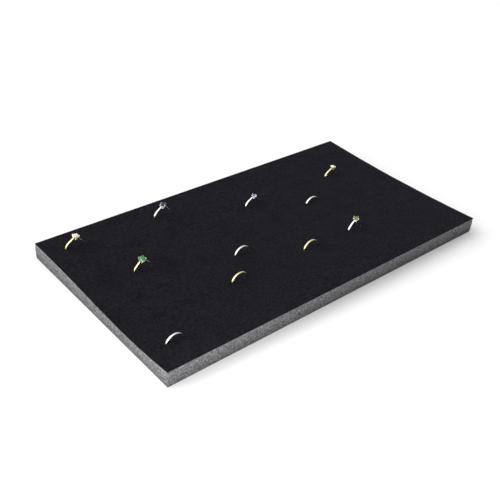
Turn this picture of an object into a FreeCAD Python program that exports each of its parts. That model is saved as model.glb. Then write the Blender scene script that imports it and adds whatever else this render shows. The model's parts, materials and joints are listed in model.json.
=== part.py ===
import FreeCAD, Part
import os
import Sketcher

# Ring display pad with the rings that stand in it, in millimetres.
# +X runs along the pad's long side, +Y to its back, +Z up; the origin is the middle of its underside.
# A foam slab carries a flocked sheet. Both are slit in a grid, and each ring stands upright in a slit.

doc = FreeCAD.newDocument("RingPad")
sheet = doc.addObject("Spreadsheet::Sheet", "Sizes")

# Driving sizes
SIZES = {
    # pad; the thicknesses are at its long edges, between which the top dips
    "pad_length": 358.8,
    "pad_width": 193.7,
    "foam_thickness": 14.9,
    "flock_thickness": 0.5,
    "top_dip": 1.9,
    # grid of slits: from each edge of the pad to the middle of the slits nearest to it
    "left_margin": 26.25,
    "right_margin": 21.25,
    "front_margin": 27.2,
    "back_margin": 23.8,
    # slits, which run along X with a bridge between neighbours; the depth is from the long edges' top
    "slit_bridge": 2.3,
    "slit_gape": 0.6,
    "slit_depth": 14.8,
    "cut_overrun": 2.0,
    # play of a ring in its slit
    "side_clearance": 0.15,
    "floor_clearance": 0.15,
    # plain bands, a little crowned outside
    "band_bore": 15.5,
    "band_wall": 1.25,
    "band_width": 1.7,
    "band_crown": 0.25,
    # shanks of the stone rings, with a seat for the setting between two shoulders
    "shank_bore": 16.3,
    "shank_wall": 1.25,
    "shank_width": 1.8,
    "shank_crown": 0.25,
    "seat_drop": 0.5,
    "shoulder_land": 0.5,
    # settings: a hollow collet and its prongs
    "collet_base": 3.0,
    "collet_wall": 0.5,
    "collet_floor": 0.4,
    "culet_room": 0.2,
    "stone_clearance": 0.05,
    "prong_width": 0.8,
    "prong_depth": 0.7,
    "prong_tip": 0.5,
    # stones, across the girdle
    "clear_stone": 6.0,
    "amethyst_stone": 6.0,
    "topaz_stone": 5.0,
    "citrine_stone": 5.0,
    "emerald_stone": 6.5,
    "peridot_stone": 6.0,
}

# Counts
COLUMNS = 12
ROWS = 6
PRONGS = 4
FACETS = 8
# Where the shoulders start in the hoop's wall, in degrees from its top
SHOULDER_FOOT = 45

# Proportions of a cut stone, of its width across the girdle
CROWN_SHARE = 0.16
GIRDLE_SHARE = 0.03
PAVILION_SHARE = 0.43
TABLE_SHARE = 0.56
CULET_SHARE = 0.04
# Where the collet's rim and the prongs' tips meet the stone, of its half width
RIM_SHARE = 0.6
HOOK_SHARE = 0.78
# How far up the collet's wall the shoulders reach, and the prongs start
SHOULDER_SHARE = 0.6
PRONG_FOOT_SHARE = 0.7

# The slit that holds each ring: column from the left, row from the back
BAND_SEATS = {
    "silver_band_front": (0, 5),
    "silver_band_middle": (4, 3),
    "silver_band_back": (8, 2),
    "gold_band_left": (3, 4),
    "gold_band_right": (6, 4),
}
STONE_SEATS = {
    "clear": (0, 0),
    "amethyst": (3, 0),
    "topaz": (6, 1),
    "citrine": (10, 1),
    "emerald": (1, 2),
    "peridot": (8, 4),
}
# How far each ring has slid along its slit, of its play to the right
SEAT_SHIFT_SHARES = {
    "silver_band_front": -0.12,
    "silver_band_middle": -0.15,
    "silver_band_back": -0.29,
    "gold_band_left": 0.26,
    "gold_band_right": -0.49,
    "clear": -0.5,
    "amethyst": 1.0,
    "topaz": 0.91,
    "citrine": -0.73,
    "emerald": 0.17,
    "peridot": -0.31,
}
# How far the lips hold each ring above the slit's floor, of the slit's depth
SEAT_LIFT_SHARES = {
    "silver_band_front": 0,
    "silver_band_middle": 0.12,
    "silver_band_back": 0,
    "gold_band_left": 0.15,
    "gold_band_right": 0.2,
    "clear": 0.29,
    "amethyst": 0.3,
    "topaz": 0.06,
    "citrine": 0,
    "emerald": 0.15,
    "peridot": 0.12,
}
# How far each stone ring has rolled in its slit, in degrees to the right
RING_LEANS = {
    "clear": 8,
    "amethyst": 4,
    "topaz": 8,
    "citrine": 9,
    "emerald": -2,
    "peridot": -2,
}
# How far each setting's prongs are turned from the line of the shank, in degrees
PRONG_TURNS = {
    "clear": 45,
    "amethyst": 0,
    "topaz": 0,
    "citrine": 45,
    "emerald": 45,
    "peridot": 0,
}

for line, (alias, size) in enumerate(SIZES.items(), 1):
    sheet.set(f"A{line}", alias)
    sheet.set(f"B{line}", str(size))
    sheet.setAlias(f"B{line}", alias)
doc.recompute()

pieces = {}


def cell(name):
    return f"Sizes.{name}"


def number(formula):
    return float(sheet.evalExpression(formula))


def bind(thing, formulas):
    for path, formula in formulas.items():
        thing.setExpression(path, formula)


def place(thing, x, y, z):
    bind(thing, {"Placement.Base.x": x, "Placement.Base.y": y, "Placement.Base.z": z})


def keep(thing, label):
    thing.Label = label
    pieces[label] = thing


# Formulas that several pieces share
PAD_TOP = f"({cell('foam_thickness')} + {cell('flock_thickness')})"
SLIT_FLOOR = f"({PAD_TOP} - {cell('slit_depth')})"
COLUMNS_SPAN = f"({cell('pad_length')} - {cell('left_margin')} - {cell('right_margin')})"
ROWS_SPAN = f"({cell('pad_width')} - {cell('front_margin')} - {cell('back_margin')})"
SLIT_LENGTH = f"({COLUMNS_SPAN} / {COLUMNS - 1} - {cell('slit_bridge')})"


def column_x(column):
    first = f"{cell('left_margin')} - {cell('pad_length')} / 2"
    return f"({first} + {column} / {COLUMNS - 1} * {COLUMNS_SPAN})"


def row_y(row):
    first = f"{cell('pad_width')} / 2 - {cell('back_margin')}"
    return f"({first} - {row} / {ROWS - 1} * {ROWS_SPAN})"


def inner_radius(kind):
    return f"({cell(kind + '_bore')} / 2)"


def outer_radius(kind):
    return f"({inner_radius(kind)} + {cell(kind + '_wall')})"


# Seat of a setting, above the ring's centre
SEAT_HEIGHT = f"({outer_radius('shank')} - {cell('seat_drop')})"


def ring_center(name, seat, kind):
    radius = outer_radius(kind)
    play = f"({SLIT_LENGTH} / 2 - {radius} - {cell('side_clearance')})"
    x = f"{column_x(seat[0])} + {SEAT_SHIFT_SHARES[name]} * {play}"
    lift = f"{SEAT_LIFT_SHARES[name]} * {cell('slit_depth')}"
    z = f"{SLIT_FLOOR} + {cell('floor_clearance')} + {lift} + {radius}"
    return x, row_y(seat[1]), z


# Sketches

def new_sketch(body, name, plane_role):
    sketch = body.newObject("Sketcher::SketchObject", name)
    plane = next(plane for plane in body.Origin.OriginFeatures if plane.Role == plane_role)
    sketch.AttachmentSupport = [(plane, "")]
    sketch.MapMode = "FlatFace"
    return sketch


def tie_corner(sketch, line, corner, end=1):
    # Ties the given end of a line to the sketch's origin by two formulas
    for kind, formula in zip(("DistanceX", "DistanceY"), corner):
        index = sketch.addConstraint(Sketcher.Constraint(kind, -1, 1, line, end, number(formula)))
        sketch.setExpression(f"Constraints[{index}]", formula)


def draw_outline(sketch, corners, arcs=()):
    # Closed outline through corners that are given as formulas. A side is straight, or an arc where arcs
    # has its number, its middle point, and the half chord and the rise that give its radius.
    curved = {side: (middle, half, rise) for side, middle, half, rise in arcs}
    points = [FreeCAD.Vector(number(x), number(y), 0) for x, y in corners]
    ends = []
    for side, (start, end) in enumerate(zip(points, points[1:] + points[:1])):
        if side in curved:
            middle = FreeCAD.Vector(*[number(formula) for formula in curved[side][0]], 0)
            sketch.addGeometry(Part.Arc(start, middle, end), False)
            turns_left = (middle - start).cross(end - middle).z > 0
            ends.append((1, 2) if turns_left else (2, 1))
        else:
            sketch.addGeometry(Part.LineSegment(start, end), False)
            ends.append((1, 2))
    for side, corner in enumerate(corners):
        following = (side + 1) % len(corners)
        join = Sketcher.Constraint("Coincident", side, ends[side][1], following, ends[following][0])
        sketch.addConstraint(join)
        tie_corner(sketch, side, corner, ends[side][0])
    for side, (middle, half, rise) in curved.items():
        radius = f"({half}) * ({half}) / (2 * {rise}) + {rise} / 2"
        index = sketch.addConstraint(Sketcher.Constraint("Radius", side, number(radius)))
        sketch.setExpression(f"Constraints[{index}]", radius)


# Pad: slab, sheet and the slits through both

def slit(column, row, width):
    cutter = doc.addObject("Part::Box", f"slit_{column}_{row}")
    height = f"{cell('slit_depth')} + {cell('cut_overrun')}"
    bind(cutter, {"Length": SLIT_LENGTH, "Width": width, "Height": height})
    x = f"{column_x(column)} - {SLIT_LENGTH} / 2"
    place(cutter, x, f"{row_y(row)} - ({width}) / 2", SLIT_FLOOR)
    return cutter


def slit_width(kind):
    return f"{cell(kind + '_width')} + 2 * {cell('side_clearance')}"


def dipped_side(side, height):
    # Side of a layer's section that sags between the long edges
    dip = cell("top_dip")
    return side, ("0", f"{height} - {dip}"), f"{cell('pad_width')} / 2", dip


def pad_layer(label, low, high, dipped_sides, slits):
    # Section across the pad, underside first, then extended along it and slit
    half = f"{cell('pad_width')} / 2"
    blank = doc.addObject("PartDesign::Body", f"{label}_blank")
    section = new_sketch(blank, f"{label}_section", "YZ_Plane")
    draw_outline(section, [(f"-{half}", low), (half, low), (half, high), (f"-{half}", high)], dipped_sides)
    slab = blank.newObject("PartDesign::Pad", f"{label}_slab")
    slab.Profile = section
    slab.Midplane = True
    slab.setExpression("Length", cell("pad_length"))
    cut = doc.addObject("Part::Cut", label)
    cut.Base = blank
    cut.Tool = slits
    keep(cut, label)


open_slits = {seat: slit_width("band") for seat in BAND_SEATS.values()}
open_slits.update({seat: slit_width("shank") for seat in STONE_SEATS.values()})
cutters = []
for column in range(COLUMNS):
    for row in range(ROWS):
        cutters.append(slit(column, row, open_slits.get((column, row), cell("slit_gape"))))
slits = doc.addObject("Part::Compound", "slits")
slits.Links = cutters
foam_top = dipped_side(2, cell("foam_thickness"))
flock_sides = [dipped_side(0, cell("foam_thickness")), dipped_side(2, PAD_TOP)]
pad_layer("foam_core", "0", cell("foam_thickness"), [foam_top], slits)
pad_layer("flocked_top", cell("foam_thickness"), PAD_TOP, flock_sides, slits)


# Rings, each made about its own centre with the bore along Y

def draw_band_section(sketch, kind):
    # Flat inside and flanks, and an arc over the outside
    half = f"{cell(kind + '_width')} / 2"
    bore = inner_radius(kind)
    outside = outer_radius(kind)
    crown = cell(kind + "_crown")
    shoulder = f"{outside} - {crown}"
    corners = [(shoulder, f"-{half}"), (bore, f"-{half}"), (bore, half), (shoulder, half)]
    draw_outline(sketch, corners, [(3, (outside, "0"), half, crown)])


def hoop(label, kind):
    body = doc.addObject("PartDesign::Body", label)
    section = new_sketch(body, f"{label}_section", "XY_Plane")
    draw_band_section(section, kind)
    turned = body.newObject("PartDesign::Revolution", f"{label}_turned")
    turned.Profile = section
    turned.ReferenceAxis = (section, ["V_Axis"])
    turned.Angle = 360
    doc.recompute()
    keep(body, label)
    return body


def stone_levels(name):
    # Heights above the ring's centre, for a stone that clears the collet's floor and sits on its rim
    width = cell(name + "_stone")
    depth = f"({PAVILION_SHARE} * {width})"
    culet = f"({SEAT_HEIGHT} + {cell('collet_floor')} + {cell('culet_room')})"
    girdle = f"({culet} + {depth})"
    crown = f"({girdle} + {GIRDLE_SHARE} * {width})"
    table = f"({crown} + {CROWN_SHARE} * {width})"
    rim = f"({culet} + {RIM_SHARE} * {depth} - {cell('stone_clearance')})"
    return {"culet": culet, "girdle": girdle, "crown": crown, "table": table, "rim": rim}


def beside_collet(name, share):
    # Point just outside the collet's wall, at a share of its height
    base = f"({cell('collet_base')} / 2)"
    rim = stone_levels(name)["rim"]
    rim_outside = f"({RIM_SHARE} * {cell(name + '_stone')} / 2 + {cell('collet_wall')})"
    x = f"({base} + {share} * ({rim_outside} - {base}) + {cell('stone_clearance')})"
    return x, f"({SEAT_HEIGHT} + {share} * ({rim} - {SEAT_HEIGHT}))"


def add_shoulders(body, label, name):
    # Raises the hoop's top to straight shoulders, then cuts the setting's seat between them
    outside = f"({outer_radius('shank')} - {cell('shank_crown')})"
    inside = f"({outer_radius('shank')} - {cell('shank_wall')} / 3)"
    across = f"sin({SHOULDER_FOOT})"
    up = f"cos({SHOULDER_FOOT})"
    x, height = beside_collet(name, SHOULDER_SHARE)
    land = f"({x} + {cell('shoulder_land')})"
    section = new_sketch(body, f"{label}_shoulder_section", "XZ_Plane")
    draw_outline(section, [
        (f"-{inside} * {across}", f"{inside} * {up}"),
        ("0", inside),
        (f"{inside} * {across}", f"{inside} * {up}"),
        (f"{outside} * {across}", f"{outside} * {up}"),
        (land, height),
        (f"-{land}", height),
        (f"-{outside} * {across}", f"{outside} * {up}"),
    ])
    shoulders = body.newObject("PartDesign::Pad", f"{label}_shoulders")
    shoulders.Profile = section
    shoulders.Midplane = True
    shoulders.setExpression("Length", cell("shank_width"))
    doc.recompute()

    before = body.Shape.Volume
    low_x, low = beside_collet(name, 0)
    high_x, high = beside_collet(name, 1)
    gap = new_sketch(body, f"{label}_seat_section", "XZ_Plane")
    draw_outline(gap, [(f"-{low_x}", low), (low_x, low), (high_x, high), (f"-{high_x}", high)])
    seat = body.newObject("PartDesign::Pocket", f"{label}_seat")
    seat.Profile = gap
    seat.Midplane = True
    seat.setExpression("Length", f"{cell('shank_width')} + 2 * {cell('cut_overrun')}")
    doc.recompute()
    if body.Shape.Volume >= before:
        raise RuntimeError(f"{label}: the seat was not cut")


def setting(label, name):
    levels = stone_levels(name)
    girdle = levels["girdle"]
    crown = levels["crown"]
    rim = levels["rim"]
    stone = cell(name + "_stone")
    half = f"({stone} / 2)"
    wall = cell("collet_wall")
    gap = cell("stone_clearance")
    base = f"({cell('collet_base')} / 2)"
    floor = f"({SEAT_HEIGHT} + {cell('collet_floor')})"
    rim_inside = f"({RIM_SHARE} * {half})"

    body = doc.addObject("PartDesign::Body", label)
    cup = new_sketch(body, f"{label}_cup", "XZ_Plane")
    draw_outline(cup, [
        ("0", SEAT_HEIGHT),
        (base, SEAT_HEIGHT),
        (f"{rim_inside} + {wall}", rim),
        (rim_inside, rim),
        (f"{base} - {wall}", floor),
        ("0", floor),
    ])
    collet = body.newObject("PartDesign::Revolution", f"{label}_collet")
    collet.Profile = cup
    collet.ReferenceAxis = (cup, ["V_Axis"])
    collet.Angle = 360

    # One prong: from above the shoulders up the collet's wall, past the girdle and over the crown
    foot_x, foot = beside_collet(name, PRONG_FOOT_SHARE)
    side = f"({half} + {gap})"
    back = f"({side} + {cell('prong_depth')})"
    hook = f"({HOOK_SHARE} * {half})"
    slope = f"({CROWN_SHARE} * {stone} / ({half} - {TABLE_SHARE} * {half}))"
    hook_low = f"({crown} + {slope} * ({half} - {hook}) + 2 * {gap})"
    prong_side = new_sketch(body, f"{label}_prong_side", "XZ_Plane")
    draw_outline(prong_side, [
        (f"{foot_x} - {gap} - {wall} / 2", foot),
        (f"{foot_x} + {cell('prong_depth')} / 2", foot),
        (back, girdle),
        (back, crown),
        (hook, f"{hook_low} + {cell('prong_tip')}"),
        (hook, hook_low),
        (side, f"{crown} + {gap}"),
        (side, girdle),
        (f"{rim_inside} + {wall} / 2", rim),
    ])
    prong = body.newObject("PartDesign::Pad", f"{label}_prong")
    prong.Profile = prong_side
    prong.Midplane = True
    prong.setExpression("Length", cell("prong_width"))
    doc.recompute()
    prongs = body.newObject("PartDesign::PolarPattern", f"{label}_prongs")
    prongs.Originals = [prong]
    prongs.Axis = (cup, ["V_Axis"])
    prongs.Angle = 360
    prongs.Occurrences = PRONGS
    body.Tip = prongs
    body.Placement.Rotation = FreeCAD.Rotation(FreeCAD.Vector(0, 0, 1), PRONG_TURNS[name])
    doc.recompute()
    keep(body, label)
    return body


def cut_stone(label, name):
    levels = stone_levels(name)
    half = f"{cell(name + '_stone')} / 2"
    rings = []
    for level, share in (("culet", CULET_SHARE), ("girdle", 1), ("crown", 1), ("table", TABLE_SHARE)):
        ring = doc.addObject("Part::RegularPolygon", f"{label}_{level}_ring")
        ring.Polygon = FACETS
        bind(ring, {"Circumradius": f"{share} * {half}", "Placement.Base.z": levels[level]})
        rings.append(ring)
    cut = doc.addObject("Part::Loft", label)
    cut.Sections = rings
    cut.Solid = True
    cut.Ruled = True
    doc.recompute()
    keep(cut, label)
    return cut


for name, seat in BAND_SEATS.items():
    band = hoop(name, "band")
    place(band, *ring_center(name, seat, "band"))

for name, seat in STONE_SEATS.items():
    shank = hoop(f"{name}_ring_shank", "shank")
    add_shoulders(shank, f"{name}_ring_shank", name)
    head = setting(f"{name}_ring_setting", name)
    gem = cut_stone(f"{name}_ring_stone", name)
    roll = FreeCAD.Rotation(FreeCAD.Vector(0, 1, 0), RING_LEANS[name])
    for piece in (shank, head, gem):
        piece.Placement.Rotation = roll * piece.Placement.Rotation
        place(piece, *ring_center(name, seat, "shank"))

doc.recompute()

# Checks, then one file for each piece
for thing in doc.Objects:
    if "Invalid" in thing.State or "Error" in thing.State:
        raise RuntimeError(f"{thing.Label} failed: {thing.State}")
for label, piece in pieces.items():
    if piece.Shape.isNull() or not piece.Shape.isValid() or len(piece.Shape.Solids) != 1:
        raise RuntimeError(f"{label} is not one valid solid")

os.makedirs("parts", exist_ok=True)
for label, piece in pieces.items():
    piece.Shape.exportStep(f"parts/{label}.step")
    box = piece.Shape.BoundBox
    print(f"{label}: {piece.Shape.Volume:.2f} mm3, z {box.ZMin:.2f} to {box.ZMax:.2f}")
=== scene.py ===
import json
import math
import random

import bmesh
import bpy
from mathutils import Matrix, Vector, noise


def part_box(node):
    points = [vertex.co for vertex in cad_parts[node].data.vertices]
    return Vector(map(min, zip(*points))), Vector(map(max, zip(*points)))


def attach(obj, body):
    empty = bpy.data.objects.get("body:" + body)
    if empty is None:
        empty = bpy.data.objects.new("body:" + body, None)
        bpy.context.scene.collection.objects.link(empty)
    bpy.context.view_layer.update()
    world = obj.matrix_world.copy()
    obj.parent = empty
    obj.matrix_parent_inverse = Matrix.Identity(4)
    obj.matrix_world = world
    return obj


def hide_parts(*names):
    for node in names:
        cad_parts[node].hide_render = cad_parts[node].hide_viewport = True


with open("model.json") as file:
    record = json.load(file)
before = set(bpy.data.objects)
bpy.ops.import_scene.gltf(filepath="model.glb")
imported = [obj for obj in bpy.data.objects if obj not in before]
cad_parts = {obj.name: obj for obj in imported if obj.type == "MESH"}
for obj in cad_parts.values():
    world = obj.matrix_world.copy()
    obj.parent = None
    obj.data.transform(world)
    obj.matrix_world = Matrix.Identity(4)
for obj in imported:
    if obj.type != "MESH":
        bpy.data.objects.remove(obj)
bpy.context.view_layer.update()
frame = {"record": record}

# A slit ring pad: a grey foam slab under a black flocked sheet, with finger rings in some slits.
# Pieces are modelled in millimetres about the frame's origin and brought to metres when finished.
MM = 0.001

# Pad: its size from the solid, and the thickness of the flocked sheet and of the glue under it
pad_low, pad_high = (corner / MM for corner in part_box("flocked_top"))
PAD_LENGTH = pad_high.x - pad_low.x
PAD_WIDTH = pad_high.y - pad_low.y
PAD_TOP = pad_high.z
FLOCK = 0.5
GLUE = 0.03

# Slits: their grid in from the pad's left and back edges, half their length, and the foam below
COLUMNS, ROWS = 12, 6
COLUMN_PITCH, ROW_PITCH = 28.3, 28.54
LEFT_MARGIN, BACK_MARGIN = 26.25, 23.8
FIRST_COLUMN = LEFT_MARGIN - PAD_LENGTH / 2
BACK_ROW = PAD_WIDTH / 2 - BACK_MARGIN
SLIT_HALF = 13.0
SLIT_FLOOR = 0.6

# How the top sags between its long edges: more at the pad's ends, at the left one more in front
DIP_LEFT, DIP_MIDDLE, DIP_RIGHT = 2.6, 1.3, 2.5
DIP_LEAN = 1.64
# Bumps of the flocked face: height, width and layer of noise, and how near to a long edge they fade
BUMPS = ((0.3, 45, 3), (0.1, 13, 7))
BUMPS_FADE = 8
# Rounding at the pad's edges: how far down, and how far in
EDGE_DROP, EDGE_REACH = 0.12, 0.25

# Cut lips: half gape of an empty slit, how far a lip turns down, and how far that reaches
GAPE = 0.05
LIP_TURN = 0.16
LIP_REACH = 0.7
# Small faults of the slits: skew, step from lip to lip, and spread of the gape and of the turn
FAULT_SEED = 11
SLIT_SKEW = 0.14
LIP_STEP = 0.08
GAPE_SPREAD = (0.6, 1.5)
TURN_SPREAD = (0.6, 1.4)
# Round a ring's arms: play, how soon the lips close beside an arm, how deep they close, and how far
# below that the foam gives way to the whole ring
RING_PLAY = 0.05
LIP_EASE = 0.5
LIP_DEPTH = 1.0
TRACK_DROP = 0.4

# Lines of the pad's mesh: along a slit from its middle, away from its lips, and in from the edges
ALONG_SLIT = (0, 2.5, 5.0, 7.5, 9.5, 11.25, 12.25, SLIT_HALF)
FROM_LIP = (0, 0.35, 0.8, 1.6, 3.2, 5.6, 9.0)
FROM_EDGE = (0, 0.25, 0.7, 2.0, 6.0)
# Arms are measured at some levels of the lips and laid on a step
ARM_LEVELS = 4
ARM_STEP = 0.1
# The two lips of a slit start on one line, so a hair keeps them in order until they are joined
LIP_HAIR = 0.001
LIP_JOIN = 0.02

# Foam sides, a little crowned: share of the height and how far in, then depth and width of their
# rough spots
FOAM_SIDE = ((0.94, 0.14), (0.75, 0.03), (0.5, 0), (0.25, 0.08), (0.06, 0.2), (0, 0.3))
FOAM_ROUGH, FOAM_ROUGH_WIDTH = 0.12, 9
# Points as near as this to a side lie on it
ON_SIDE = 1
# Edges of the pad that turn further than this are sharp
PAD_SHARP = math.radians(50)

# Rings: the slit that each stands in, column from the left and row from the back
BANDS = {
    "silver_band_front": (0, 5),
    "silver_band_middle": (4, 3),
    "silver_band_back": (8, 2),
    "gold_band_left": (3, 4),
    "gold_band_right": (6, 4),
}
BAND_WALL, BAND_WIDTH = 1.25, 1.7
# Stone rings also with the stone's width and two angles in degrees: how far the ring has rolled to
# the right, and how far its claws are turned from the line of the shank
STONE_RINGS = {
    "clear_ring": (0, 0, 6.0, 8, 45),
    "amethyst_ring": (3, 0, 6.0, 4, 0),
    "topaz_ring": (6, 1, 5.0, 8, 0),
    "citrine_ring": (10, 1, 5.0, 9, 45),
    "emerald_ring": (1, 2, 6.5, -2, 45),
    "peridot_ring": (8, 4, 6.0, -2, 0),
}
SHANK_WALL, SHANK_WIDTH = 1.25, 1.8
# A hoop's section: its corners, and how round its outside and inside are, then steps round the bore
HOOP_CORNERS = 24
OUTSIDE_ROUND, INSIDE_ROUND = 0.55, 0.45
HOOP_STEPS = 144
# Points of a ring as near as this are joined
RING_JOIN = 0.001

# Seat below the shank's top, the culet over it, and a stone's height as a share of its width
SEAT_DROP = 0.5
CULET_RISE = 0.6
STONE_HEIGHT_SHARE = 0.62

# Shares from here on are of a stone's half width, and heights in shares are over its girdle
CROWN_RISE = 0.324
# Points of a brilliant cut: how many, share out, share up, and turn in degrees
BRILLIANT = (
    (8, 0.56, CROWN_RISE, 0),
    (8, 0.80, 0.1915, 22.5),
    (16, 1, 0, 0),
    (16, 1, -0.06, 0),
    (8, 0.238, -0.73, 22.5),
)
# Faces that turn less than this from one to the next are one facet
FACET_FLAT = math.radians(0.5)
# Where a shoulder ends at the head: share and length out, share up, and angle that it runs on inwards
LAND_SHARE, LAND_CLEAR, LAND_RISE = 0.62, 0.5, -0.55
LAND_OVERRUN = 0.05
# Width of a shank at the head as a share, and the angle from the head where it is full
HEAD_NARROW, FULL_WIDTH_ANGLE = 0.84, 1.3
# Foot of a head: height over the seat and radius
FOOT = ((-0.4, 1.2), (0.2, 1.2), (0.6, 0.9))
FOOT_CORNERS = 16
# Rails: share out, share up and thickness, then corners of the wire and steps round the stone
RAILS = ((0.55, -0.62, 0.6), (0.9, -0.27, 0.5))
WIRE_CORNERS = 10
RAIL_STEPS = 40
# Claws: length out and radius on the seat, and then share and length out, share up and radius
CLAWS = 4
CLAW_FOOT = (0.8, 0.32)
CLAW_PATH = (
    (0.62, 0, -0.6, 0.32),
    (1, 0.1, -0.15, 0.34),
    (1, 0.12, 0.1, 0.34),
    (0.9, 0, 0.26, 0.3),
    (0.8, 0, 0.3, 0.18),
)


# Materials

def linear(code):
    """Linear colour of an sRGB hex value."""
    parts = [int(code[i:i + 2], 16) / 255 for i in (1, 3, 5)]
    return [p / 12.92 if p <= 0.04045 else ((p + 0.055) / 1.055) ** 2.4 for p in parts] + [1]


def add_node(tree, kind, inputs=(), **settings):
    """Adds a node with its settings, and gives its inputs a value or a link."""
    node = tree.nodes.new("ShaderNode" + kind)
    for name, value in settings.items():
        setattr(node, name, value)
    for name, value in dict(inputs).items():
        if isinstance(value, bpy.types.NodeSocket):
            tree.links.new(value, node.inputs[name])
        else:
            node.inputs[name].default_value = value
    return node


def per_metre(size):
    """Scale of a pattern whose features are that many millimetres wide."""
    return 1 / (size * MM)


def new_material(name):
    material = bpy.data.materials.new(name)
    material.use_nodes = True
    tree = material.node_tree
    tree.nodes.clear()
    place = add_node(tree, "TexCoord").outputs["Object"]
    return material, tree, place


# Mix has its factor at 0, and two inputs at 2 and 3 for plain values and at 6 and 7 for colours

def two_tone(tree, factor, dark, light, start=0.3, end=0.7):
    """Colours between two tones, by a factor from start to end."""
    span = add_node(tree, "MapRange", {"Value": factor, "From Min": start, "From Max": end})
    blend = add_node(tree, "Mix", {
        0: span.outputs["Result"], 6: linear(dark), 7: linear(light),
    }, data_type="RGBA")
    return blend.outputs[2]


def nylon_flock():
    """Black nylon flock: short upright fibres that drink the light, with a faint bloom."""
    material, tree, place = new_material("black_nylon_flock")
    # The fibres are far finer than a pixel, so the pile is drawn as clumps of 2 mm
    pile = add_node(tree, "TexNoise", {"Vector": place, "Scale": per_metre(2), "Detail": 3.0})
    # Patches where the nap leans one way or the other
    nap = add_node(tree, "TexNoise", {"Vector": place, "Scale": per_metre(16), "Detail": 2.0})
    both = add_node(tree, "Mix", {0: 0.25, 2: pile.outputs["Fac"], 3: nap.outputs["Fac"]})
    colour = two_tone(tree, both.outputs[0], "#020203", "#1C1B21")
    bump = add_node(tree, "Bump", {
        "Height": pile.outputs["Fac"], "Strength": 0.6, "Distance": 0.3 * MM,
    })
    shader = add_node(tree, "BsdfPrincipled", {
        "Base Color": colour, "Roughness": 0.95, "Specular IOR Level": 0.05,
        "Normal": bump.outputs["Normal"],
        "Sheen Weight": 0.04, "Sheen Roughness": 0.6, "Sheen Tint": linear("#8F8D98"),
    })
    add_node(tree, "OutputMaterial", {"Surface": shader.outputs["BSDF"]})
    return material


def cut_foam():
    """Grey open-cell polyurethane foam, die cut: matt, with open pores and lighter cell walls."""
    material, tree, place = new_material("grey_polyurethane_foam")
    # The cells are finer than a pixel, so they are drawn as flecks of 1.5 mm
    cells = add_node(tree, "TexVoronoi", {"Vector": place, "Scale": per_metre(1.5)})
    grain = add_node(tree, "TexNoise", {"Vector": place, "Scale": per_metre(2.4), "Detail": 4.0})
    both = add_node(tree, "Mix", {0: 0.5, 2: cells.outputs["Distance"], 3: grain.outputs["Fac"]})
    tone = two_tone(tree, both.outputs[0], "#444446", "#9C9C9E", 0.25, 0.75)
    # Painted shade: the slab is painted darker over the lowest 13 mm, most at its foot, as shade near
    # the floor
    height = add_node(tree, "SeparateXYZ", {0: place}).outputs["Z"]
    painted_shade = add_node(tree, "MapRange", {
        "Value": height, "From Min": 0, "From Max": 13 * MM, "To Min": 0.55,
    })
    colour = add_node(tree, "Mix", {
        0: 1.0, 6: tone, 7: painted_shade.outputs["Result"],
    }, data_type="RGBA", blend_type="MULTIPLY")
    bump = add_node(tree, "Bump", {
        "Height": both.outputs[0], "Strength": 0.5, "Distance": 0.3 * MM,
    })
    shader = add_node(tree, "BsdfPrincipled", {
        "Base Color": colour.outputs[2], "Roughness": 0.95, "Specular IOR Level": 0.1,
        "Normal": bump.outputs["Normal"],
    })
    add_node(tree, "OutputMaterial", {"Surface": shader.outputs["BSDF"]})
    return material


def polished_metal(name, dark, light):
    """Polished precious metal: mirror-like, dulled a little by hairline wear."""
    material, tree, place = new_material(name)
    # Wear marks are microns wide, so they are drawn as soft streaks of 0.4 mm
    wear = add_node(tree, "TexNoise", {"Vector": place, "Scale": per_metre(0.4), "Detail": 5.0})
    rough = add_node(tree, "MapRange", {
        "Value": wear.outputs["Fac"], "To Min": 0.14, "To Max": 0.3,
    })
    shader = add_node(tree, "BsdfPrincipled", {
        "Base Color": two_tone(tree, wear.outputs["Fac"], dark, light), "Metallic": 1.0,
        "Roughness": rough.outputs["Result"],
    })
    add_node(tree, "OutputMaterial", {"Surface": shader.outputs["BSDF"]})
    return material


def cut_gem(name, deep, pale, ior, clear):
    """Cut and polished gemstone, with the flashes that its facets throw back painted into its colour
    as a mosaic of deep and pale tones.
    """
    material, tree, place = new_material(name)
    # Painted reflections: the facets' flashes and the light they return are painted into the base
    # colour, and as most are finer than a pixel, they are drawn 0.9 mm wide
    painted_flashes = add_node(tree, "TexVoronoi", {"Vector": place, "Scale": per_metre(0.9)})
    tone = add_node(tree, "SeparateColor", {0: painted_flashes.outputs["Color"]}).outputs["Red"]
    shader = add_node(tree, "BsdfPrincipled", {
        "Base Color": two_tone(tree, tone, deep, pale, 0, 1), "Roughness": 0.02, "IOR": ior,
        "Transmission Weight": clear,
    })
    add_node(tree, "OutputMaterial", {"Surface": shader.outputs["BSDF"]})
    return material


FLOCK_MATERIAL = nylon_flock()
FOAM_MATERIAL = cut_foam()
METALS = {
    "polished_silver": polished_metal("polished_silver", "#E4E1D9", "#F2EFE8"),
    "polished_gold": polished_metal("polished_yellow_gold", "#DCD0A0", "#EEE6C4"),
}
# Stones: the deep and pale tones hold each stone's own colour and the painted light that its facets
# return
GEMS = {
    "clear": cut_gem("cut_clear_zircon", "#DEDCCA", "#FFFFF8", 1.92, 0.15),
    "amethyst": cut_gem("cut_amethyst", "#060220", "#28186E", 1.55, 0.65),
    "topaz": cut_gem("cut_blue_topaz", "#48608E", "#A2B8DC", 1.62, 0.85),
    "citrine": cut_gem("cut_citrine", "#F2EEC4", "#FFFFEE", 1.55, 0.12),
    "emerald": cut_gem("cut_emerald", "#0E5A34", "#62BC8E", 1.58, 0.6),
    "peridot": cut_gem("cut_peridot", "#3E4600", "#A6AC00", 1.67, 0.55),
}


# Finished pieces

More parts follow.
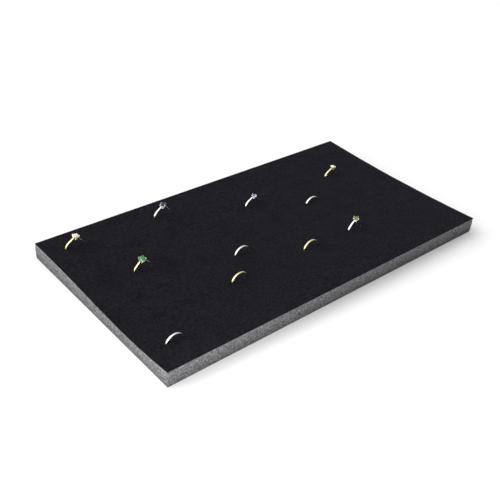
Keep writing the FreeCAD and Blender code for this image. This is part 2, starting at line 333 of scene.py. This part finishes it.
def make_piece(bm, name, body, nodes, material, smooth=True):
    """Brings a shape to metres and makes it a piece that rides on a body in place of its solids."""
    bmesh.ops.scale(bm, vec=(MM, MM, MM), verts=bm.verts)
    for face in bm.faces:
        face.smooth = smooth
    mesh = bpy.data.meshes.new(name)
    bm.to_mesh(mesh)
    bm.free()
    mesh.materials.append(material)
    piece = bpy.data.objects.new(name, mesh)
    bpy.context.scene.collection.objects.link(piece)
    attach(piece, body)
    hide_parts(*nodes)
    return piece


# Pad

def ring_seat(node):
    """Centre and outer radius of a hoop, in millimetres. Its lowest point and sides are whole."""
    low, high = (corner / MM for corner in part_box(node))
    radius = (high.x - low.x) / 2
    return Vector(((low.x + high.x) / 2, (low.y + high.y) / 2, low.z + radius)), radius


def column_x(column):
    return FIRST_COLUMN + column * COLUMN_PITCH


def row_y(row):
    return BACK_ROW - row * ROW_PITCH


def sag(x, y):
    """How far the flocked face lies below the long edges' top."""
    along = x / PAD_LENGTH
    across = 2 * y / PAD_WIDTH
    slope = DIP_RIGHT - DIP_LEFT
    bend = 2 * (DIP_LEFT + DIP_RIGHT - 2 * DIP_MIDDLE)
    dip = DIP_MIDDLE + slope * along + bend * along ** 2
    lean = DIP_LEAN * (0.5 - along)
    bow = dip * (1 - across ** 2) * (1 - lean * across)
    bumps = sum(height * noise.noise((x / width, y / width, layer)) for height, width, layer in BUMPS)
    from_side = PAD_WIDTH / 2 - abs(y)
    from_edge = min(PAD_LENGTH / 2 - abs(x), from_side)
    return bow + min(1, from_side / BUMPS_FADE) * bumps + EDGE_DROP * math.exp(-from_edge / EDGE_REACH)


def chord(radius, height):
    """Half the chord of a circle at a height over its centre."""
    return math.sqrt(max(0, radius ** 2 - height ** 2))


def ring_arms(center, radius, wall, shift):
    """Spans along a slit where the arms of a ring, shifted from the slit's middle, pass the lips."""
    top = PAD_TOP - sag(center.x, center.y) - center.z
    heights = [top - LIP_DEPTH * k / ARM_LEVELS for k in range(ARM_LEVELS + 1)]
    near = min(chord(radius - wall, height) for height in heights) - RING_PLAY
    far = max(chord(radius, height) for height in heights) + RING_PLAY
    spans = []
    for start, end in ((shift - far, shift - near), (shift + near, shift + far)):
        start = math.floor(start / ARM_STEP) * ARM_STEP
        end = math.ceil(end / ARM_STEP) * ARM_STEP
        spans.append((max(start, -SLIT_HALF), min(end, SLIT_HALF)))
    return spans


def cut_slits():
    """Each slit's small faults, and the arms and the track of the ring that holds it open."""
    chance = random.Random(FAULT_SEED)
    cuts = {}
    for column in range(COLUMNS):
        for row in range(ROWS):
            cuts[column, row] = {
                "skew": chance.uniform(-SLIT_SKEW, SLIT_SKEW),
                "gape": GAPE * chance.uniform(*GAPE_SPREAD),
                "turn": LIP_TURN * chance.uniform(*TURN_SPREAD),
                "step": chance.uniform(-LIP_STEP, LIP_STEP),
                "arms": [],
            }
    hoops = [(node, seat, BAND_WALL, BAND_WIDTH) for node, seat in BANDS.items()]
    for ring, (column, row, *_) in STONE_RINGS.items():
        hoops.append((ring + "_shank", (column, row), SHANK_WALL, SHANK_WIDTH))
    for node, seat, wall, width in hoops:
        center, radius = ring_seat(node)
        shift = center.x - column_x(seat[0])
        reach = radius + 2 * RING_PLAY
        cuts[seat].update({
            "skew": 0,
            "step": 0,
            "arms": ring_arms(center, radius, wall, shift),
            "held": width / 2 + RING_PLAY,
            "track": (shift - reach, shift + reach),
        })
    return cuts


CUTS = cut_slits()


def half_gape(cut, u):
    """Half the opening of a slit's lips at u from its middle."""
    half = cut["gape"] * (1 - (u / SLIT_HALF) ** 2)
    for start, end in cut["arms"]:
        beside = max(start - u, u - end, 0)
        half = max(half, cut["held"] * max(0, 1 - beside / LIP_EASE))
    return half


def mesh_lines():
    """The pad's lines across, as x, column and place along the slit, and its lines along, as y,
    row, side and distance from the lip."""
    half_x, half_y = PAD_LENGTH / 2, PAD_WIDTH / 2
    across = [(side * (half_x - d), None, 0) for side in (-1, 1) for d in FROM_EDGE]
    for column in range(COLUMNS):
        offsets = {side * u for side in (-1, 1) for u in ALONG_SLIT}
        for row in range(ROWS):
            for start, end in CUTS[column, row]["arms"]:
                offsets |= {start - LIP_EASE, start, end, end + LIP_EASE}
        inside = [u for u in sorted(offsets) if abs(u) <= SLIT_HALF]
        across += [(column_x(column) + u, column, u) for u in inside]
    along = [(side * (half_y - d), None, 0, 0) for side in (-1, 1) for d in FROM_EDGE]
    along += [(row_y(row) - ROW_PITCH / 2, None, 0, 0) for row in range(ROWS - 1)]
    for row in range(ROWS):
        for side in (-1, 1):
            for d in FROM_LIP:
                along.append((row_y(row) + side * (d + LIP_HAIR), row, side, d))
    return sorted(across, key=lambda line: line[0]), sorted(along, key=lambda line: line[0])


X_LINES, Y_LINES = mesh_lines()


def lay_point(x_line, y_line, depth):
    """A point of the pad where two lines cross, that far below the flocked face."""
    x, column, u = x_line
    y, row, side, away = y_line
    drop = 0
    if row is not None:
        cut = CUTS.get((column, row))
        ease = 1 - away / FROM_LIP[-1]
        half = half_gape(cut, u) if cut else 0
        y = row_y(row) + side * (half + away * (1 - half / FROM_LIP[-1]))
        if cut:
            fade = math.sqrt(max(0, 1 - (u / SLIT_HALF) ** 2))
            curl = cut["turn"] * math.exp(-away / LIP_REACH)
            y += cut["skew"] * u / SLIT_HALF * ease
            drop = fade * (curl + side * cut["step"] * ease ** 3)
    return Vector((x, y, PAD_TOP - sag(x, y) - drop - depth))


def pad_face(depth):
    """The pad's top face, that far below the flocked one, and the strips that lie over the slits."""
    bm = bmesh.new()
    last_x, last_y = len(X_LINES) - 1, len(Y_LINES) - 1
    bmesh.ops.create_grid(bm, x_segments=last_x, y_segments=last_y, size=1)
    spots = {}
    for v in bm.verts:
        spots[v] = round((v.co.x + 1) / 2 * last_x), round((v.co.y + 1) / 2 * last_y)
    strips = []
    for face in bm.faces:
        i = min(spots[v][0] for v in face.verts)
        j = min(spots[v][1] for v in face.verts)
        column, next_column = X_LINES[i][1], X_LINES[i + 1][1]
        _, row, _, away = Y_LINES[j]
        _, next_row, _, next_away = Y_LINES[j + 1]
        in_slit = column is not None and column == next_column
        from_lip_to_lip = row is not None and row == next_row and away == next_away == 0
        if in_slit and from_lip_to_lip:
            strips.append(face)
    for v, (i, j) in spots.items():
        v.co = lay_point(X_LINES[i], Y_LINES[j], depth)
    return bm, strips


def close_up(bm):
    """Joins the points where lips meet and turns all faces outwards."""
    bmesh.ops.remove_doubles(bm, verts=bm.verts, dist=LIP_JOIN)
    bmesh.ops.recalc_face_normals(bm, faces=bm.faces)


def widen_track(v):
    """Moves a point of a slit's wall out to the side of the ring that the slit holds."""
    column = round((v.co.x - FIRST_COLUMN) / COLUMN_PITCH)
    row = round((BACK_ROW - v.co.y) / ROW_PITCH)
    cut = CUTS[column, row]
    away = v.co.y - row_y(row)
    if cut["arms"] and cut["track"][0] < v.co.x - column_x(column) < cut["track"][1]:
        v.co.y = row_y(row) + math.copysign(max(abs(away), cut["held"]), away)


def of_kind(geom, kind):
    return [item for item in geom if isinstance(item, kind)]


def flocked_sheet():
    """The black flocked sheet, cut open along the slits."""
    bm, strips = pad_face(0)
    bmesh.ops.delete(bm, geom=strips, context="FACES")
    grown = bmesh.ops.extrude_face_region(bm, geom=bm.faces[:], use_keep_orig=True)["geom"]
    under = of_kind(grown, bmesh.types.BMVert)
    bmesh.ops.translate(bm, vec=(0, 0, -FLOCK), verts=under)
    close_up(bm)
    return bm


def foam_slab():
    """The grey foam slab, slit almost down to its underside."""
    bm, strips = pad_face(FLOCK + GLUE)
    # The slits go down as the lips run, then round a ring as wide as it, and then to the floor
    for drop, widen in ((LIP_DEPTH, False), (TRACK_DROP, True), (None, True)):
        grown = bmesh.ops.extrude_face_region(bm, geom=strips)["geom"]
        strips = of_kind(grown, bmesh.types.BMFace)
        for v in of_kind(grown, bmesh.types.BMVert):
            v.co.z = v.co.z - drop if drop else SLIT_FLOOR
            if widen:
                widen_track(v)
    # The sides go down from the rim of the top
    rim = [edge for edge in bm.edges if edge.is_boundary]
    before = 1
    for share, hollow in FOAM_SIDE:
        grown = bmesh.ops.extrude_edge_only(bm, edges=rim)["geom"]
        rim = of_kind(grown, bmesh.types.BMEdge)
        for v in of_kind(grown, bmesh.types.BMVert):
            rough = FOAM_ROUGH * noise.noise(v.co / FOAM_ROUGH_WIDTH)
            for axis, half in ((0, PAD_LENGTH / 2), (1, PAD_WIDTH / 2)):
                if abs(v.co[axis]) > half - ON_SIDE:
                    v.co[axis] = math.copysign(half - hollow - abs(rough), v.co[axis])
            v.co.z *= share / before
        before = share
    bmesh.ops.edgeloop_fill(bm, edges=rim)
    close_up(bm)
    return bm


flock = make_piece(
    flocked_sheet(), "flock_sheet", "pad", ["flocked_top"], FLOCK_MATERIAL)
foam = make_piece(
    foam_slab(), "foam_slab", "pad", ["foam_core"], FOAM_MATERIAL)
for piece in (flock, foam):
    piece.data.set_sharp_from_angle(angle=PAD_SHARP)


# Rings, each made about its own centre with the bore along Y

MIDDLE = Vector((0, 0, 0))
UP = Vector((0, 0, 1))


def edges_of(verts):
    return list({edge for v in verts for edge in v.link_edges})


def hoop(bm, radius, wall, width):
    """A hoop with a nearly flat outside and inside, and rounded edges."""
    section = bmesh.ops.create_circle(bm, segments=HOOP_CORNERS, radius=1)["verts"]
    for v in section:
        power = OUTSIDE_ROUND if v.co.x > 0 else INSIDE_ROUND
        reach, side = (math.copysign(abs(c) ** power, c) for c in v.co.xy)
        v.co = (radius + wall / 2 * (reach - 1), width / 2 * side, 0)
    bmesh.ops.spin(bm, geom=section + bm.edges[:], cent=MIDDLE, axis=(0, 1, 0), angle=math.tau,
                   steps=HOOP_STEPS, use_merge=True)


def raise_shoulders(bm, radius, seat, half, girdle):
    """Draws a hoop's outside straight up to the head, and narrows it towards the head."""
    bore = radius - SHANK_WALL
    land = Vector((LAND_SHARE * half + LAND_CLEAR, 0, girdle + LAND_RISE * half))
    land_end = math.atan2(land.x, land.z)
    leave = land_end + math.acos(radius / land.length)
    for v in bm.verts:
        angle = abs(math.atan2(v.co.x, v.co.z))
        reach = math.hypot(v.co.x, v.co.z)
        if angle < leave:
            if angle > land_end - LAND_OVERRUN:
                outside = radius / math.cos(leave - angle)
            else:
                outside = seat / math.cos(angle)
            grown = (bore + (reach - bore) * (outside - bore) / SHANK_WALL) / reach
            v.co.x *= grown
            v.co.z *= grown
        v.co.y *= HEAD_NARROW + (1 - HEAD_NARROW) * min(1, angle / FULL_WIDTH_ANGLE)


def rod(bm, points, radii, corners):
    """A rod through points, with a radius at each."""
    loops = []
    last = len(points) - 1
    for i, (point, radius) in enumerate(zip(points, radii)):
        run = points[min(i + 1, last)] - points[max(i - 1, 0)]
        turn = UP.rotation_difference(run).to_matrix().to_4x4()
        circle = bmesh.ops.create_circle(
            bm, cap_ends=i in (0, last), segments=corners, radius=radius,
            matrix=Matrix.Translation(point) @ turn)
        loops.append(edges_of(circle["verts"]))
    for first, second in zip(loops, loops[1:]):
        bmesh.ops.bridge_loops(bm, edges=first + second)


def rail(bm, radius, height, thickness):
    """A round wire bent into a ring about the upright axis."""
    wire = bmesh.ops.create_circle(
        bm, segments=WIRE_CORNERS, radius=thickness / 2,
        matrix=Matrix.Rotation(math.pi / 2, 4, "X"))["verts"]
    bmesh.ops.translate(bm, vec=(radius, 0, height), verts=wire)
    bmesh.ops.spin(bm, geom=wire + edges_of(wire), cent=MIDDLE, axis=UP, angle=math.tau,
                   steps=RAIL_STEPS, use_merge=True)


def basket(bm, seat, half, girdle, claw_turn):
    """A head that holds a stone: a foot, two rails and the claws."""
    foot = [UP * (seat + rise) for rise, _ in FOOT]
    rod(bm, foot, [radius for _, radius in FOOT], FOOT_CORNERS)
    for share, rise, thickness in RAILS:
        rail(bm, share * half, girdle + rise * half, thickness)
    foot_out, foot_radius = CLAW_FOOT
    for k in range(CLAWS):
        turn = Matrix.Rotation(math.radians(claw_turn + 360 / CLAWS * k), 3, "Z")
        outward = turn @ Vector((1, 0, 0))
        points = [outward * foot_out + UP * seat]
        radii = [foot_radius]
        for share, more, rise, radius in CLAW_PATH:
            points.append(outward * (share * half + more) + UP * (girdle + rise * half))
            radii.append(radius)
        rod(bm, points, radii, WIRE_CORNERS)


def brilliant(bm, half, girdle, culet):
    """A brilliant cut about its girdle: table, star points, girdle, lower points and culet."""
    points = []
    for count, share, rise, turn in BRILLIANT:
        out = share * half
        for k in range(count):
            angle = math.radians(turn) + math.tau * k / count
            spot = (math.cos(angle) * out, math.sin(angle) * out, girdle + rise * half)
            points.append(bm.verts.new(spot))
    points.append(bm.verts.new((0, 0, culet)))
    bmesh.ops.convex_hull(bm, input=points)
    bmesh.ops.dissolve_limit(bm, angle_limit=FACET_FLAT, verts=bm.verts, edges=bm.edges)


def finish_ring(bm, center, lean=0):
    """Closes a ring's shape, rolls it to the right and sets it in its slit."""
    bmesh.ops.remove_doubles(bm, verts=bm.verts, dist=RING_JOIN)
    bmesh.ops.recalc_face_normals(bm, faces=bm.faces)
    roll = Matrix.Rotation(math.radians(lean), 3, "Y")
    bmesh.ops.rotate(bm, cent=MIDDLE, matrix=roll, verts=bm.verts)
    bmesh.ops.translate(bm, vec=center, verts=bm.verts)


def slot_of(node):
    subparts = frame["record"]["subparts"]
    return next(part["material_slot"] for part in subparts if part["node"] == node)


for node in BANDS:
    center, radius = ring_seat(node)
    metal = slot_of(node)
    bm = bmesh.new()
    hoop(bm, radius, BAND_WALL, BAND_WIDTH)
    finish_ring(bm, center)
    make_piece(bm, node + "_hoop", node, [node], METALS[metal])

for ring, (_, _, size, lean, claw_turn) in STONE_RINGS.items():
    shank, setting, stone = (f"{ring}_{part}" for part in ("shank", "setting", "stone"))
    center, radius = ring_seat(shank)
    metal, gem = slot_of(shank), slot_of(stone)
    half = size / 2
    seat = radius - SEAT_DROP
    culet = seat + CULET_RISE
    table = culet + STONE_HEIGHT_SHARE * size
    girdle = table - CROWN_RISE * half

    bm = bmesh.new()
    hoop(bm, radius, SHANK_WALL, SHANK_WIDTH)
    raise_shoulders(bm, radius, seat, half, girdle)
    finish_ring(bm, center, lean)
    make_piece(bm, ring + "_hoop", ring, [shank], METALS[metal])

    bm = bmesh.new()
    basket(bm, seat, half, girdle, claw_turn)
    finish_ring(bm, center, lean)
    make_piece(bm, ring + "_head", ring, [setting], METALS[metal])

    bm = bmesh.new()
    brilliant(bm, half, girdle, culet)
    finish_ring(bm, center, lean)
    make_piece(bm, ring + "_gem", ring, [stone], GEMS[gem], smooth=False)


# Floor and room

# Floor: half its width in metres, its drop below the pad in millimetres, and its glow where seen
FLOOR_REACH = 4
FLOOR_DROP = 0.2
FLOOR_LIFT = 0.22
# Strength of the room as it is seen, as it is seen through stones, and as it lights the pad
ROOM_SEEN, ROOM_THROUGH, ROOM_LIGHT = 1.0, 0.9, 0.25
# What metal and stones mirror of the room, whose left is bright with the widest light
MIRRORED_LEFT, MIRRORED_RIGHT = 2.2, 0.4


def for_rays(tree, strengths):
    """A strength for each named kind of ray, and nothing for other kinds."""
    path = add_node(tree, "LightPath")
    total = 0
    for name, strength in strengths.items():
        inputs = {0: path.outputs[name], 1: strength, 2: total}
        total = add_node(tree, "Math", inputs, operation="MULTIPLY_ADD").outputs[0]
    return total


def pale_floor():
    """Matt white paper sweep. What is seen of it is lifted to white, and the shadow stays."""
    material, tree, place = new_material("white_paper_sweep")
    fibre = add_node(tree, "TexNoise", {"Vector": place, "Scale": per_metre(3), "Detail": 2.0})
    tone = two_tone(tree, fibre.outputs["Fac"], "#D9D9D9", "#DBDBDB")
    matt = add_node(tree, "BsdfDiffuse", {"Color": tone})
    seen = ("Is Camera Ray", "Is Glossy Ray", "Is Transmission Ray")
    lift = for_rays(tree, dict.fromkeys(seen, FLOOR_LIFT))
    glow = add_node(tree, "Emission", {"Strength": lift})
    both = add_node(tree, "AddShader", {0: matt.outputs[0], 1: glow.outputs[0]})
    add_node(tree, "OutputMaterial", {"Surface": both.outputs[0]})
    return material


def white_room():
    """White surroundings for what is seen, softer ones as light, and uneven ones in mirrors."""
    world = bpy.data.worlds.new("white_room")
    world.use_nodes = True
    tree = world.node_tree
    tree.nodes.clear()
    heading = add_node(tree, "TexCoord").outputs["Generated"]
    sideways = add_node(tree, "SeparateXYZ", {0: heading}).outputs["X"]
    mirrored = add_node(tree, "MapRange", {
        "Value": sideways, "From Min": -1, "To Min": MIRRORED_LEFT, "To Max": MIRRORED_RIGHT,
    })
    strength = for_rays(tree, {
        "Is Camera Ray": ROOM_SEEN, "Is Transmission Ray": ROOM_THROUGH,
        "Is Diffuse Ray": ROOM_LIGHT, "Is Glossy Ray": mirrored.outputs["Result"],
    })
    sky = add_node(tree, "Background", {"Color": linear("#FFFFFF"), "Strength": strength})
    add_node(tree, "OutputWorld", {"Surface": sky.outputs[0]})
    bpy.context.scene.world = world


bm = bmesh.new()
bmesh.ops.create_grid(bm, x_segments=1, y_segments=1, size=FLOOR_REACH)
bmesh.ops.translate(bm, vec=(0, 0, -FLOOR_DROP * MM), verts=bm.verts)
floor_mesh = bpy.data.meshes.new("floor")
bm.to_mesh(floor_mesh)
bm.free()
floor_mesh.materials.append(pale_floor())
floor = bpy.data.objects.new("floor", floor_mesh)
bpy.context.scene.collection.objects.link(floor)

white_room()


# Lights

def add_light(name, kind, place, energy, **settings):
    """A light at a place, turned to the pad's middle. A far one shines from that direction."""
    light = bpy.data.lights.new(name, kind)
    light.energy = energy
    for setting, value in settings.items():
        setattr(light, setting, value)
    lamp = bpy.data.objects.new(name, light)
    lamp.location = place
    # Metal mirrors the room's shine in place of the far lights
    lamp.visible_glossy = kind != "SUN"
    lamp.rotation_euler = (-lamp.location).to_track_quat("-Z", "Y").to_euler()
    bpy.context.scene.collection.objects.link(lamp)


# Far soft boxes: wide ones at the left and behind, and a narrow one low at the right
add_light("left_light", "SUN", (-0.8, 0.5, 0.7), 3.1, angle=math.radians(60))
add_light("back_light", "SUN", (0.05, 0.9, 0.7), 1.15, angle=math.radians(60))
add_light("right_light", "SUN", (0.93, 0.2, 0.24), 0.9, angle=math.radians(26))
# A small near one before the left corner
add_light("corner_light", "AREA", (-0.26, -0.25, 0.13), 0.55, size=0.2)

# Camera, as the photograph sees the pad: its place in millimetres, its heading from the pad's back
# towards the right, its height and tilt in degrees, and its lens and sensor in millimetres
CAMERA_PLACE = Vector((-409.4, -414.3, 391.2))
HEADING, ELEVATION, TILT = 43.243, 34.454, 4.941
LENS, SENSOR = 55.05, 36


def turned(degrees, axis):
    return Matrix.Rotation(math.radians(degrees), 4, axis)


view = bpy.data.cameras.new("camera")
view.sensor_width = SENSOR
view.lens = LENS
camera = bpy.data.objects.new("camera", view)
aim = turned(-HEADING, "Z") @ turned(90 - ELEVATION, "X")
camera.matrix_world = Matrix.Translation(CAMERA_PLACE * MM) @ aim @ turned(TILT, "Z")
bpy.context.scene.collection.objects.link(camera)
bpy.context.scene.camera = camera
bpy.context.scene.view_settings.view_transform = "Standard"
